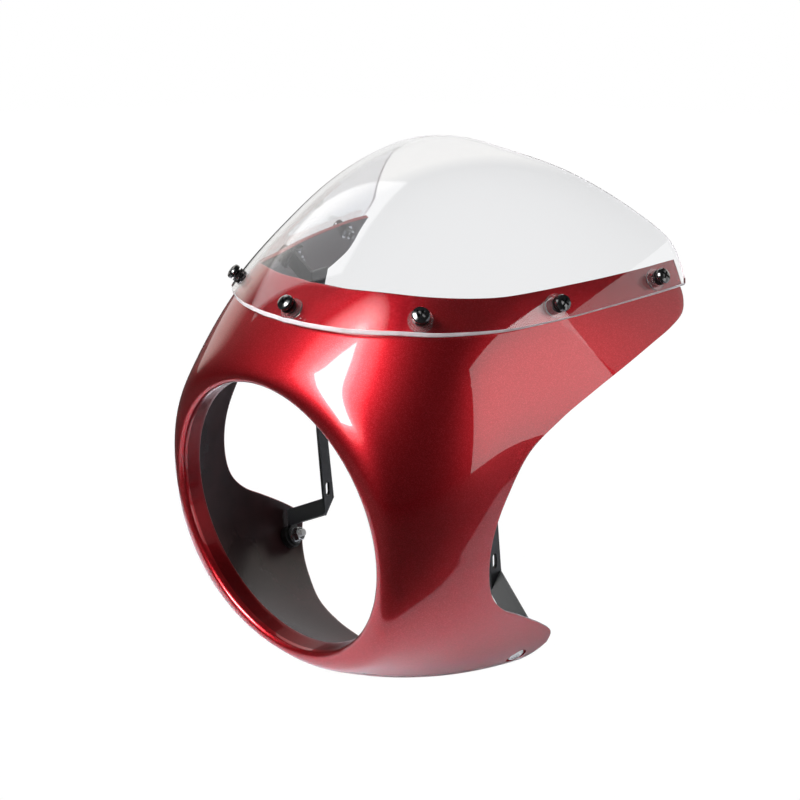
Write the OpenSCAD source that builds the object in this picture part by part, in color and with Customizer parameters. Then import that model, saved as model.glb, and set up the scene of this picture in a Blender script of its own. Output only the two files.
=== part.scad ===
/* [Headlight opening] */
// Radius of the opening's rolled lip, measured at its foremost ridge
opening_r = 90; // [80:0.5:110]
// Radius of the round that rolls the lip into the opening
lip_round = 3.3; // [2:0.1:5]
// Depth of the collar that holds the headlight rim, behind the ridge
collar_depth = 15.6; // [10:0.2:30]
// Wall of the collar
collar_wall = 2.5; // [1.5:0.1:4]

/* [Shell] */
// Depth of the shell from the lip to the rear of the ears
shell_depth = 240; // [200:1:280]
// Half width of the guiding section at the full depth
rear_half_width = 181.4; // [150:0.2:210]
// Height of the guiding section at the full depth
rear_height = 214; // [180:1:240]
// Half width of the lower wings at their rear
wing_half_width = 129.4; // [110:0.2:150]
// Drop of the lower wings at their rear, below the opening's centre
wing_drop = 138.6; // [120:0.2:160]
// Moulded wall of the shell
wall = 3; // [2:0.1:5]

/* [Windscreen] */
// Thickness of the clear sheet
screen_wall = 3; // [2:0.1:5]
// Gap between the shell's skin and the clear sheet
screen_gap = 1.5; // [1:0.05:3]
// Bevel along the outer edges of the clear sheet
screen_bevel = 1.7; // [0.5:0.1:2.5]
// Diameter of the soft clear washer between shell and sheet at each screw
spacer_d = 14; // [10:0.5:18]

/* [Screen screws] */
// Diameter of the shank
screw_d = 4.8; // [4:0.1:6]
// Radial clearance of the shank in the sheet, the shell and the bracket
screw_clear = 0.4; // [0.2:0.05:1]
// Diameter of the domed head
screw_head_d = 10; // [8:0.1:12]
// Height of the domed head
screw_head_h = 3; // [2:0.1:4]
// Length of shank that stands past the nut
screw_tail = 2.4; // [1:0.1:6]

/* [Washers and nuts] */
// Diameter of the two flanges of the moulded shoulder washer
collar_d = 9.5; // [8:0.1:14]
// Thickness of the flange that lies on the clear sheet
collar_foot = 1.2; // [0.8:0.1:2]
// Diameter of the neck between the flanges
collar_neck_d = 6.4; // [6:0.1:8]
// Length of the neck
collar_neck = 1.4; // [0.5:0.1:3]
// Thickness of the flange under the head
collar_lip = 0.8; // [0.5:0.1:2]
// Diameter of the plated flat washer
washer_d = 12; // [9:0.5:15]
// Thickness of the plated flat washer
washer_t = 1; // [0.6:0.1:2]
// Width across the flats of the nut
nut_flats = 8; // [7:0.1:10]
// Height of the nut
nut_h = 4; // [3:0.1:6]

/* [Wing fixings] */
// Diameter of the hole in each lower wing
wing_hole_d = 15.2; // [13:0.1:18]
// Diameter of the low round head that sits inside the hole
wing_head_d = 12.4; // [10:0.1:14]
// Height of the low round head
wing_head_h = 4.4; // [2:0.1:6]
// Diameter of the wing bolt's shank
wing_bolt_d = 5.8; // [5:0.1:8]
// Diameter of the rubber block between wing and bracket
grommet_d = 18; // [16:0.5:24]
// Thickness of the rubber block
grommet_t = 5; // [3:0.1:8]
// Width across the flats of the wing nut
wing_nut_flats = 10; // [8:0.1:13]
// Height of the wing nut
wing_nut_h = 5; // [4:0.1:8]

/* [Brackets] */
// Thickness of the steel strip
strip_t = 2.4; // [1.5:0.1:4]
// Width of the upright strip
strip_w = 10.6; // [9:0.2:20]
// Length of the slot near the foot of the strip
slot_l = 12; // [8:0.5:20]
// Width of the slot
slot_w = 4.2; // [3:0.1:8]
// Width of the tabs that carry the fixings
tab_w = 15; // [12:0.5:20]

/* [Hidden] */
GAP = 0.3;
COVER = 0.02;
BEND_OVER = 0.06;
BORE_R = opening_r - lip_round;
COLLAR_OUT = BORE_R + collar_wall;
DEPTH_UNIT = shell_depth / 240;
// Growth of each half section from the opening to the rear, at equal steps of the root of the depth.
WIDTH_SHARE = [0, 0.086, 0.173, 0.263, 0.345, 0.429, 0.572, 0.774, 1];
HEIGHT_SHARE = [0, 0.066, 0.170, 0.323, 0.512, 0.709, 0.879, 0.978, 1];
TOP_SQUARENESS = [2, 2.27, 2.31, 2.37, 2.41, 2.31, 2.23, 2.09, 1.96];
DROP_SHARE = [0, 0.117, 0.273, 0.506, 0.732, 0.882, 1.03];
LOW_SQUARENESS = [2, 2.26, 2.33, 2.44, 2.76, 3.55, 4.6];
STATIONS = 8;
WAIST_STATION = 4;
WING_GAIN = [0.558, 1];
// Free edges as [angle round the opening's axis, depth], drawn for a depth of 240.
TOP_EDGE = [
    [90, 43.3], [78, 46], [67.7, 55.8], [61, 70], [56, 92],
    [52.6, 120], [49.6, 158], [47.6, 196], [46.3, 232.6]
];
REAR_EDGE = [
    [46.3, 232.6], [42.2, 229.6], [39.3, 228], [36.6, 222], [35, 208], [33.8, 190],
    [32.2, 168], [30, 140.6], [27.2, 114.6], [22.4, 89], [13, 70.8], [3.8, 62], [-6.4, 60.1],
    [-14.9, 64.3], [-21.3, 76], [-26.3, 93.7], [-33.2, 120], [-36.9, 131.6], [-40.6, 133]
];
FLOOR_EDGE = [
    [-40.6, 133], [-47, 121.5], [-56, 106], [-67.5, 88.5], [-80, 79.3], [-90, 76]
];
// Pairs across the clear sheet: angle and depth on its lower edge, then on its free edge.
SHEET_PAIRS = [
    [90, 22.4, 90, 172], [79.5, 24, 84, 172.2], [69.3, 29.7, 79.2, 173.6], [61, 41, 75, 180],
    [54.4, 57.7, 69.6, 192.6], [49.6, 86, 63.5, 207], [46.1, 124.2, 56.3, 223.6],
    [43.9, 160, 51.8, 233.2], [42.3, 195, 48.6, 236], [41.4, 220, 44.8, 233.4], [41.2, 228, 42.4, 230.8]
];
// Angles on the lip that the lines of the skin start from, for angles on the free edge.
LIP_ANGLES = [[-90, -90], [-40, -50], [0, -5], [46, 40], [90, 90]];
SKIN_ROWS = 12;
SHEET_ROWS = 10;
// Screw sites as [side, angle, depth], from the left ear over the centre to the right ear.
SCREW_SITES = [
    [-1, 44.5, 206], [-1, 48.7, 126.5], [-1, 60, 53.7], [1, 90, 28.8], [1, 60, 53.7], [1, 48.7, 126.5], [1, 44.5, 206]
];
BRACKET_SITES = [1, 5];
WING_SITE = [1, -43, 108];
SHELL_RED = "#a3141c";
CLEAR = [0.92, 0.95, 0.95, 0.3];
BLACK = "#161718";
RUBBER = "#202020";
ZINC = "#c9ccce";

// Smooth curve through the entries of a table, at position s counted in entries.
function along(table, s) =
    let(n = len(table) - 1, i = min(floor(max(s, 0)), n - 1), f = max(s, 0) - i)
    let(b = table[i], c = table[i + 1])
    let(a = i == 0 ? 2 * b - c : table[i - 1], d = i + 2 > n ? 2 * c - b : table[i + 2])
    (2 * b + (c - a) * f + (2 * a - 5 * b + 4 * c - d) * f * f + (3 * b - a - 3 * c + d) * f * f * f) / 2;

function half_width(s) = opening_r + (rear_half_width - opening_r) * along(WIDTH_SHARE, s);
function waist() = half_width(WAIST_STATION);
function wing_table() = concat(
    [for (k = [0:WAIST_STATION]) half_width(k)],
    [for (g = WING_GAIN) waist() + (wing_half_width - waist()) * g]
);
function width_at(low, s) = low ? along(wing_table(), s) : half_width(s);
function height_at(low, s) = low
    ? opening_r + (wing_drop - opening_r) * along(DROP_SHARE, s)
    : opening_r + (rear_height - opening_r) * along(HEIGHT_SHARE, s);
function squareness_at(low, s) = low ? along(LOW_SQUARENESS, s) : along(TOP_SQUARENESS, s);

// Point of the outer skin at an angle and a depth.
function skin(angle, depth) =
    let(low = angle < 0, s = STATIONS * sqrt(max(depth, 0) / 240))
    let(n = squareness_at(low, s))
    let(u = pow(abs(cos(angle)) / width_at(low, s), n), v = pow(abs(sin(angle)) / height_at(low, s), n))
    let(r = pow(u + v, -1 / n))
    [r * cos(angle), depth * DEPTH_UNIT, r * sin(angle)];

function unit(v) = v / norm(v);
function outward(angle, depth) =
    let(a = skin(min(angle + 0.2, 90), depth) - skin(max(angle - 0.2, -90), depth))
    let(b = skin(angle, depth + 0.2) - skin(angle, max(depth - 0.2, 0)))
    unit(cross(b, a));
function raised(angle, depth, height) = skin(angle, depth) + height * outward(angle, depth);
function mirrored(p, side) = [side * p[0], p[1], p[2]];

// Turn that brings the axes to u, the part of w square to it, and their cross product.
function turn(u, w) =
    let(x = unit(u), z = unit(cross(u, w)), y = cross(z, x))
    [atan2(y[2], z[2]), -asin(x[2]), atan2(x[1], x[0])];

// Both halves of the free edge, from the top over the right side to the bottom and back up.
function smooth(table, steps) = [for (i = [0:steps * (len(table) - 1) - 1]) along(table, i / steps)];
RIGHT_EDGE = concat(smooth(TOP_EDGE, 2), smooth(REAR_EDGE, 2), smooth(FLOOR_EDGE, 2), [FLOOR_EDGE[len(FLOOR_EDGE) - 1]]);
RIGHT_LAST = len(RIGHT_EDGE) - 1;
EDGE_COUNT = 2 * RIGHT_LAST;
function edge_point(i) = i <= RIGHT_LAST ? RIGHT_EDGE[i] : RIGHT_EDGE[EDGE_COUNT - i];
function edge_side(i) = i <= RIGHT_LAST ? 1 : -1;

// Line of the skin from the lip to an edge point; t is 0 at the lip and 1 at the edge.
function skin_line(e, t) = [lookup(e[0], LIP_ANGLES) * (1 - t) + e[0] * t, e[1] * pow(t, 1.7)];
function lip_ring(angle, radius, depth) = [radius * cos(angle), depth, radius * sin(angle)];

// Closed profile of the shell wall on one line of the skin.
function wall_profile(e) =
    let(lip = lookup(e[0], LIP_ANGLES))
    concat(
        [for (k = [SKIN_ROWS:-1:0]) let(q = skin_line(e, k / SKIN_ROWS)) skin(q[0], q[1])],
        [for (f = [30, 60, 90]) lip_ring(lip, opening_r - (lip_round + 0.5) * sin(f), lip_round * (1 - cos(f)))],
        [lip_ring(lip, BORE_R - 0.5, collar_depth), lip_ring(lip, COLLAR_OUT, collar_depth), lip_ring(lip, COLLAR_OUT, wall + 1.4)],
        [for (k = [1:SKIN_ROWS]) let(q = skin_line(e, k / SKIN_ROWS)) raised(q[0], q[1], -wall)]
    );

// Closed skin over rings of equal length; the last ring joins the first.
module ring_solid(rings) {
    n = len(rings);
    m = len(rings[0]);
    points = [for (ring = rings) for (p = ring) p];
    faces = [
        for (i = [0:n - 1]) for (j = [0:m - 1])
            let(i2 = (i + 1) % n, j2 = (j + 1) % m)
            let(a = i * m + j, b = i2 * m + j, c = i2 * m + j2, d = i * m + j2)
            for (f = (2 * i < n ? [[a, b, c], [a, c, d]] : [[a, b, d], [b, c, d]])) f
    ];
    polyhedron(points, faces);
}

// Closed skin over a strip of rings; the first and last rings are capped.
module strip_solid(rings) {
    n = len(rings);
    m = len(rings[0]);
    points = [for (ring = rings) for (p = ring) p];
    sides = [
        for (i = [0:n - 2]) for (j = [0:m - 1])
            let(j2 = (j + 1) % m)
            let(a = i * m + j, b = (i + 1) * m + j, c = (i + 1) * m + j2, d = i * m + j2)
            for (f = (2 * i < n - 1 ? [[a, b, c], [a, c, d]] : [[a, b, d], [b, c, d]])) f
    ];
    half = m / 2;
    caps = [
        for (j = [0:half - 2])
            let(j2 = m - 1 - j)
            for (f = [[j, j + 1, j2 - 1], [j, j2 - 1, j2]]) f
    ];
    last = (n - 1) * m;
    ends = [for (f = caps) [last + f[2], last + f[1], last + f[0]]];
    polyhedron(points, concat(sides, caps, ends));
}

// Places children at a site of the skin, with +Z along the outward normal.
module at_site(site) {
    n = mirrored(outward(site[1], site[2]), site[0]);
    translate(mirrored(skin(site[1], site[2]), site[0]))
    rotate([0, acos(n[2]), atan2(n[1], n[0])])
    children();
}

module disc(d, z0, z1) {
    translate([0, 0, z0])
    cylinder(d = d, h = z1 - z0, $fn = 48);
}

module shell() {
    color(SHELL_RED)
    difference() {
        ring_solid([for (i = [0:EDGE_COUNT - 1]) [for (p = wall_profile(edge_point(i))) mirrored(p, edge_side(i))]]);
        rotate([-90, 0, 0])
        translate([0, 0, -1])
        cylinder(r = BORE_R, h = collar_depth + 2, $fn = 96);
        for (site = SCREW_SITES)
            at_site(site)
            disc(screw_d + 2 * screw_clear, -wall - 3, 3);
        for (side = [-1, 1])
            at_site([side, WING_SITE[1], WING_SITE[2]])
            disc(wing_hole_d, -wall - 3, 3);
    }
}

// Points across the sheet at a height above the skin; both ends step in by inset.
function sheet_row(pair, height, inset) =
    let(p = [for (k = [0:SHEET_ROWS]) let(q = sheet_point(pair, k / SHEET_ROWS)) raised(q[0], q[1], height)])
    [for (k = [0:SHEET_ROWS])
        p[k] + (k == 0 ? inset * unit(p[1] - p[0]) : k == SHEET_ROWS ? inset * unit(p[k - 1] - p[k]) : [0, 0, 0])];
function sheet_column(pair) =
    let(low = sheet_row(pair, screen_gap, 0), mid = sheet_row(pair, SHEET_SKIN - screen_bevel, 0))
    let(high = sheet_row(pair, SHEET_SKIN, screen_bevel))
    concat(low, [mid[SHEET_ROWS]], [for (k = [SHEET_ROWS:-1:0]) high[k]], [mid[0]]);
function sheet_point(pair, t) = [pair[0] * (1 - t) + pair[2] * t, pair[1] * (1 - t) + pair[3] * t];
SHEET_SKIN = screen_gap + screen_wall;
SHEET_HALF = concat(smooth(SHEET_PAIRS, 2), [SHEET_PAIRS[len(SHEET_PAIRS) - 1]]);
SHEET_LAST = len(SHEET_HALF) - 1;

module windscreen() {
    color(CLEAR)
    difference() {
        strip_solid([for (i = [-SHEET_LAST:SHEET_LAST]) [for (p = sheet_column(SHEET_HALF[abs(i)])) mirrored(p, i < 0 ? -1 : 1)]]);
        for (site = SCREW_SITES)
            at_site(site)
            disc(screw_d + 2 * screw_clear, -2, SHEET_SKIN + 3);
    }
}

// Levels along a screw, measured from the outer skin of the shell.
SHEET_TOP = SHEET_SKIN + GAP;
HEAD_SEAT = SHEET_TOP + collar_foot + collar_neck + collar_lip;
INNER_SEAT = -wall - GAP;
function under_washer(i) = INNER_SEAT - (len(search(i, BRACKET_SITES)) > 0 ? strip_t + COVER : 0);
function nut_seat(i) = under_washer(i) - washer_t - COVER;
function tail_end(i) = nut_seat(i) - nut_h - screw_tail;

module screen_screw(i) {
    color(BLACK)
    at_site(SCREW_SITES[i])
    difference() {
        union() {
            translate([0, 0, HEAD_SEAT + COVER])
            rotate_extrude($fn = 40)
            polygon([
                [0, 0], [screw_head_d / 2, 0], [screw_head_d / 2, screw_head_h * 0.35],
                [screw_head_d * 0.44, screw_head_h * 0.7], [screw_head_d * 0.26, screw_head_h * 0.95], [0, screw_head_h]
            ]);
            disc(screw_d, tail_end(i), HEAD_SEAT + 1);
        }
        for (a = [45, 135])
            rotate([0, 0, a])
            translate([-screw_head_d * 0.28, -0.6, HEAD_SEAT + screw_head_h * 0.45])
            cube([screw_head_d * 0.56, 1.2, screw_head_h]);
    }
}

module shoulder_washer(i) {
    color(BLACK)
    at_site(SCREW_SITES[i])
    difference() {
        union() {
            disc(collar_d, SHEET_TOP, SHEET_TOP + collar_foot);
            disc(collar_neck_d, SHEET_TOP, HEAD_SEAT);
            disc(collar_d, HEAD_SEAT - collar_lip, HEAD_SEAT);
        }
        disc(screw_d + 0.2, SHEET_TOP - 1, HEAD_SEAT + 1);
    }
}

// Soft washer that keeps the clear sheet off the skin; both faces stay clear of the curved walls.
module spacer(i) {
    color(CLEAR)
    at_site(SCREW_SITES[i])
    difference() {
        disc(spacer_d, GAP / 2, screen_gap - GAP);
        disc(screw_d + 2 * screw_clear, 0, screen_gap);
    }
}

module flat_washer(i) {
    color(ZINC)
    at_site(SCREW_SITES[i])
    difference() {
        disc(washer_d, under_washer(i) - washer_t, under_washer(i));
        disc(screw_d + 0.5, under_washer(i) - washer_t - 1, under_washer(i) + 1);
    }
}

module hex_nut(flats, bore_d, z0, z1) {
    translate([0, 0, z0])
    difference() {
        intersection() {
            cylinder(r = flats / sqrt(3), h = z1 - z0, $fn = 6);
            rotate_extrude($fn = 48)
            polygon([
                [0, 0], [flats / 2 * 0.96, 0], [flats * 0.59, flats * 0.08],
                [flats * 0.59, z1 - z0 - flats * 0.04], [flats * 0.54, z1 - z0], [0, z1 - z0]
            ]);
        }
        translate([0, 0, -1])
        cylinder(d = bore_d, h = z1 - z0 + 2, $fn = 32);
    }
}

module screen_nut(i) {
    color(ZINC)
    at_site(SCREW_SITES[i])
    hex_nut(nut_flats, screw_d + 0.1, nut_seat(i) - nut_h, nut_seat(i));
}

// Levels along a wing bolt, measured from the outer skin of the shell; the wall bows in by WING_BOW under the rubber block.
WING_BOW = 0.9;
GROMMET_TOP = -wall - GAP - WING_BOW;
TAB_TOP = GROMMET_TOP - grommet_t - COVER;
WING_NUT_TOP = TAB_TOP - strip_t - washer_t - 2 * COVER;

module wing_bolt(side) {
    color(ZINC)
    at_site([side, WING_SITE[1], WING_SITE[2]])
    difference() {
        union() {
            translate([0, 0, GROMMET_TOP + COVER])
            rotate_extrude($fn = 48)
            polygon([
                [0, 0], [wing_head_d / 2, 0], [wing_head_d / 2, wing_head_h * 0.5],
                [wing_head_d * 0.44, wing_head_h * 0.85], [wing_head_d * 0.3, wing_head_h], [0, wing_head_h]
            ]);
            disc(wing_bolt_d, WING_NUT_TOP - wing_nut_h - 3, GROMMET_TOP + 1);
        }
        translate([0, 0, GROMMET_TOP + wing_head_h - 1.4])
        cylinder(d = 3.4, h = 2, $fn = 6);
    }
}

module wing_grommet(side) {
    color(RUBBER)
    at_site([side, WING_SITE[1], WING_SITE[2]])
    difference() {
        disc(grommet_d, GROMMET_TOP - grommet_t, GROMMET_TOP);
        disc(wing_bolt_d + 0.2, GROMMET_TOP - grommet_t - 1, GROMMET_TOP + 1);
    }
}

module wing_washer(side) {
    color(ZINC)
    at_site([side, WING_SITE[1], WING_SITE[2]])
    difference() {
        disc(washer_d + 1, TAB_TOP - strip_t - washer_t - COVER, TAB_TOP - strip_t - COVER);
        disc(wing_bolt_d + 0.5, TAB_TOP - strip_t - washer_t - 1, TAB_TOP - strip_t + 1);
    }
}

module wing_nut(side) {
    color(ZINC)
    at_site([side, WING_SITE[1], WING_SITE[2]])
    hex_nut(wing_nut_flats, wing_bolt_d + 0.1, WING_NUT_TOP - wing_nut_h, WING_NUT_TOP);
}

// Flat strip from an outline: u runs along the outline's x axis and w towards its y axis.
module plate(origin, u, w) {
    translate(origin)
    rotate(turn(u, w))
    translate([0, 0, -strip_t / 2])
    linear_extrude(strip_t)
    children();
}

// Flat strip through corner points; the first, second and last set its plane.
module panel(corners) {
    o = corners[0];
    x = unit(corners[1] - o);
    y = cross(unit(cross(x, corners[len(corners) - 1] - o)), x);
    plate(o, x, y)
    polygon([for (p = corners) [(p - o) * x, (p - o) * y]]);
}

// Round outside of a bend.
module bend(p, q) {
    v = q - p;
    translate(p)
    rotate([0, acos(v[2] / norm(v)), atan2(v[1], v[0])])
    translate([0, 0, -BEND_OVER])
    cylinder(d = strip_t + 2 * BEND_OVER, h = norm(v) + 2 * BEND_OVER, $fn = 24);
}

// The upright strip lies in one plane, from its top down to its foot.
STRIP_TOP = [74.2, 122 * DEPTH_UNIT, 122];
STRIP_FOOT = [80.6, 132.8 * DEPTH_UNIT, -64];
STRIP_LENGTH = norm(STRIP_FOOT - STRIP_TOP);
STRIP_RUN = unit(STRIP_FOOT - STRIP_TOP);
STRIP_SIDE = cross(unit(cross(STRIP_RUN, [-0.06, -1, -0.1])), STRIP_RUN);
FOOT_RISE = 12.5;
NECK = 4;
UPPER_NECK = 0.355 * STRIP_LENGTH;
LOWER_NECK = 0.655 * STRIP_LENGTH;
function on_strip(s, w) = STRIP_TOP + s * STRIP_RUN + w * STRIP_SIDE;

// Lower arm: from the oblique fold at the foot to the plane of the wing tab.
ARM_RUN = unit([0.83, -0.34, -0.44]);
WING_OUT = outward(WING_SITE[1], WING_SITE[2]);
WING_TAB = raised(WING_SITE[1], WING_SITE[2], TAB_TOP - strip_t / 2);
function to_tab(p) = p + ((WING_TAB - p) * WING_OUT) / (ARM_RUN * WING_OUT) * ARM_RUN;

// Upper arm: from the front edge of the strip's top to the tab under the second screw's nut.
TOP_SITE = SCREW_SITES[BRACKET_SITES[1]];
TOP_OUT = outward(TOP_SITE[1], TOP_SITE[2]);
TOP_TAB = raised(TOP_SITE[1], TOP_SITE[2], INNER_SEAT - strip_t / 2);
TOP_DOWN = unit([0, 0, -1] + TOP_OUT[2] * TOP_OUT);
TOP_BACK = cross(TOP_OUT, TOP_DOWN);

module wing_arm() {
    near = on_strip(STRIP_LENGTH, 0);
    far = on_strip(STRIP_LENGTH + FOOT_RISE, strip_w);
    near_end = to_tab(near);
    far_end = to_tab(far);
    mid = (near_end + far_end) / 2;
    across = unit(cross(WING_OUT, WING_TAB - mid));
    half = (across * (far_end - near_end) > 0 ? 1 : -1) * tab_w / 2 * across;
    bend(near, far);
    panel([near, near_end, far_end, far]);
    bend(near_end, far_end);
    panel([near_end, far_end, WING_TAB + half, WING_TAB - half]);
    at_site(WING_SITE)
    disc(tab_w, TAB_TOP - strip_t + COVER, TAB_TOP - COVER);
}

module screw_arm() {
    top = on_strip(0.6, 8);
    low = on_strip(14.6, 8.6);
    front = TOP_TAB - tab_w / 2 * TOP_BACK;
    bend(top, low);
    panel([top, front - tab_w / 2 * TOP_DOWN, front + tab_w / 2 * TOP_DOWN, low]);
    bend(front - tab_w / 2 * TOP_DOWN, front + tab_w / 2 * TOP_DOWN);
    panel([for (c = [[-1, -1], [1, -1], [1, 1], [-1, 1]]) TOP_TAB + tab_w / 2 * (c[0] * TOP_BACK + c[1] * TOP_DOWN)]);
}

module slot() {
    for (end = [-1, 1])
        translate([end * (slot_l - slot_w) / 2, 0])
        circle(d = slot_w, $fn = 32);
    square([slot_l - slot_w, slot_w], center = true);
}

module right_bracket() {
    difference() {
        union() {
            plate(STRIP_TOP, STRIP_RUN, STRIP_SIDE)
            polygon([
                [0, -7], [12, -2], [34, 1.6], [UPPER_NECK, NECK], [LOWER_NECK, NECK], [STRIP_LENGTH, 0],
                [STRIP_LENGTH + FOOT_RISE, strip_w], [LOWER_NECK, strip_w + 2.6], [UPPER_NECK, strip_w + 2.4], [0, 8]
            ]);
            wing_arm();
            screw_arm();
        }
        translate(on_strip(STRIP_LENGTH - slot_l * 0.85, strip_w * 0.62))
        rotate(turn(STRIP_RUN, STRIP_SIDE))
        translate([0, 0, -strip_t])
        linear_extrude(2 * strip_t)
        slot();
        at_site(WING_SITE)
        disc(wing_bolt_d + 0.6, TAB_TOP - strip_t - 2, TAB_TOP + 2);
        at_site(TOP_SITE)
        disc(screw_d + 2 * screw_clear, INNER_SEAT - strip_t - 2, INNER_SEAT + 2);
    }
}

module bracket(side) {
    color(BLACK)
    if (side > 0) right_bracket();
    else mirror([1, 0, 0]) right_bracket();
}

SIDES = [[-1, "left"], [1, "right"]];
COUNT = len(SCREW_SITES);

shell();
windscreen();
for (i = [1:COUNT]) {
    screen_screw(i - 1);
    shoulder_washer(i - 1);
    spacer(i - 1);
    flat_washer(i - 1);
    screen_nut(i - 1);
}
for (s = SIDES) {
    bracket(s[0]);
    wing_bolt(s[0]);
    wing_grommet(s[0]);
    wing_washer(s[0]);
    wing_nut(s[0]);
}
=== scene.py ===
"""Looks of the headlight cowl: lacquered shell, clear sheet, fixings, brackets and a pale studio."""

import math

import bmesh
import bpy
import numpy as np
from mathutils import Matrix, Quaternion, Vector


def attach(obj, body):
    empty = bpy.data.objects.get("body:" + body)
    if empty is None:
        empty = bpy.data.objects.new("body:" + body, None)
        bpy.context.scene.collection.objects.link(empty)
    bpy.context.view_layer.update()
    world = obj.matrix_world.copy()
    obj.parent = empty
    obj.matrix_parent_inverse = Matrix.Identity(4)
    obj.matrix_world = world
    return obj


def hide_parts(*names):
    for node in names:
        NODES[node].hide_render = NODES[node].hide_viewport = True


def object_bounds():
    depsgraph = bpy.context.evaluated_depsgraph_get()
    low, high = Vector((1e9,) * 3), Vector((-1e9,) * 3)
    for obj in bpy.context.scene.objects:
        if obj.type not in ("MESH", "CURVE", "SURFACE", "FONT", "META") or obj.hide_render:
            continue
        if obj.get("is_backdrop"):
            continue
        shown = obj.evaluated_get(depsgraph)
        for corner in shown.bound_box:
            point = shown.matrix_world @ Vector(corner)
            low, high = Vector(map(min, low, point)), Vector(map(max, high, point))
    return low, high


bl_info = {
    "name": "Headlight cowl",
    "version": (1, 0, 0),
    "blender": (4, 5, 0),
    "location": "3D View > Sidebar > Cowl",
    "description": "Builds the visual model of a small motorbike headlight cowl round its packed frame",
    "category": "Object",
}

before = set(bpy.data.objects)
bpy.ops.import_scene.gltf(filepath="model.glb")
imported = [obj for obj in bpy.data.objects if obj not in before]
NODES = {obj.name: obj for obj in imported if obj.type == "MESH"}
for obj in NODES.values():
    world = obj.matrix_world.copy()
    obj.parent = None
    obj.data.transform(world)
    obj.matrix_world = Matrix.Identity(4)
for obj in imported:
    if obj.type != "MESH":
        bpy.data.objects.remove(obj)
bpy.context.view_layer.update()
MM = 0.001

# ---------------------------------------------------------------- form of the moulded skin
# Millimetres and degrees, with the values of part.scad. A place on the skin is an angle about the
# opening's axis, 0 at the side and 90 at the top, and a depth behind the lip. The halves mirror.
SHELL_DEPTH = 240.0
OPENING_R = 90.0
LIP_ROUND = 3.3
BORE_R = OPENING_R - LIP_ROUND
COLLAR_DEPTH = 15.6
COLLAR_OUT = BORE_R + 2.5
WALL = 3.0
REAR_HALF_WIDTH = 181.4
REAR_HEIGHT = 214.0
WING_HALF_WIDTH = 129.4
WING_DROP = 138.6
SHEET_GAP = 1.5
SHEET_WALL = 3.0
SCREW_HOLE_R = 2.8
WING_HOLE_R = 7.6

# How width, height and drop grow from the opening to the rear, at stations evenly spaced in the
# root of the depth, and the exponent of the rounded section at each station.
WIDTH_SHARE = [0, 0.086, 0.173, 0.263, 0.345, 0.429, 0.572, 0.774, 1]
HEIGHT_SHARE = [0, 0.066, 0.170, 0.323, 0.512, 0.709, 0.879, 0.978, 1]
TOP_SQUARENESS = [2, 2.27, 2.31, 2.37, 2.41, 2.31, 2.23, 2.09, 1.96]
# Below the middle the wings leave the upper width after this station.
WING_START = 4
WING_GAIN = [0.558, 1]
DROP_SHARE = [0, 0.117, 0.273, 0.506, 0.732, 0.882, 1.03]
LOW_SQUARENESS = [2, 2.26, 2.33, 2.44, 2.76, 3.55, 4.6]

# Free edge of the shell as (angle, depth), from the top's middle round the ear and the wing.
TOP_EDGE = [
    (90, 43.3), (78, 46), (67.7, 55.8), (61, 70), (56, 92),
    (52.6, 120), (49.6, 158), (47.6, 196), (46.3, 232.6),
]
REAR_EDGE = [
    (46.3, 232.6), (42.2, 229.6), (39.3, 228), (36.6, 222), (35, 208), (33.8, 190),
    (32.2, 168), (30, 140.6), (27.2, 114.6), (22.4, 89), (13, 70.8), (3.8, 62), (-6.4, 60.1),
    (-14.9, 64.3), (-21.3, 76), (-26.3, 93.7), (-33.2, 120), (-36.9, 131.6), (-40.6, 133),
]
FLOOR_EDGE = [(-40.6, 133), (-47, 121.5), (-56, 106), (-67.5, 88.5), (-80, 79.3), (-90, 76)]
# Columns of the clear sheet: angle and depth of the lower edge, then of the upper edge.
SHEET_PAIRS = [
    (90, 22.4, 90, 172), (79.5, 24, 84, 172.2), (69.3, 29.7, 79.2, 173.6), (61, 41, 75, 180),
    (54.4, 57.7, 69.6, 192.6), (49.6, 86, 63.5, 207), (46.1, 124.2, 56.3, 223.6),
    (43.9, 160, 51.8, 233.2), (42.3, 195, 48.6, 236), (41.4, 220, 44.8, 233.4),
    (41.2, 228, 42.4, 230.8),
]
# Angles of the free edge, and the angle on the lip where the line to each of them starts.
LIP_ANGLES = ([-90, -40, 0, 46, 90], [-90, -50, -5, 40, 90])
# Screws as (side, angle, depth), and the wing bolt as (angle, depth).
SCREW_SITES = [
    (-1, 44.5, 206), (-1, 48.7, 126.5), (-1, 60, 53.7), (1, 90, 28.8),
    (1, 60, 53.7), (1, 48.7, 126.5), (1, 44.5, 206),
]
WING_SITE = (-43, 108)

# ---------------------------------------------------------------- meshes, in millimetres and rows
CURVE_STEPS = 16
# Step on the skin, in degrees and millimetres, from which its normals are taken.
PROBE = 0.2
# The shell's lines from the lip to the free edge, closer together at the lip.
OUTER_ROWS = 61
INNER_ROWS = 50
INNER_START = 1 / 12
CROWDING = 1.7
LIP_TURNS = np.radians(np.arange(12, 91, 13))
COLLAR_ROWS = 5
EDGE_TURNS = np.radians([0, 30, 60, 90])
# The sheet's rows. Its bevelled edge takes EDGE_POINTS points in place of the outermost row.
SHEET_ROWS = 44
SHEET_BEVEL = 1.7
EDGE_POINTS = 9
# The next row lies this many bevels further in, but at most WIDEST_INSET of the column's height,
# and where rows are that close, the bevel shrinks to NARROW_SHARE of their spacing.
INSET_BEVELS = 1.3
WIDEST_INSET = 0.25
NARROW_SHARE = 0.75
# The cylinders that cut the screw and wing bolt holes.
CUTTER_LENGTH = 16.0
CUTTER_SIDES = 64
# Angles in degrees above which an edge stays sharp.
MOULDED_CREASE = 38
CAD_CREASE = 32
# Round of the soft spacers' rims.
SPACER_ROUND = 0.5

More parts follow.
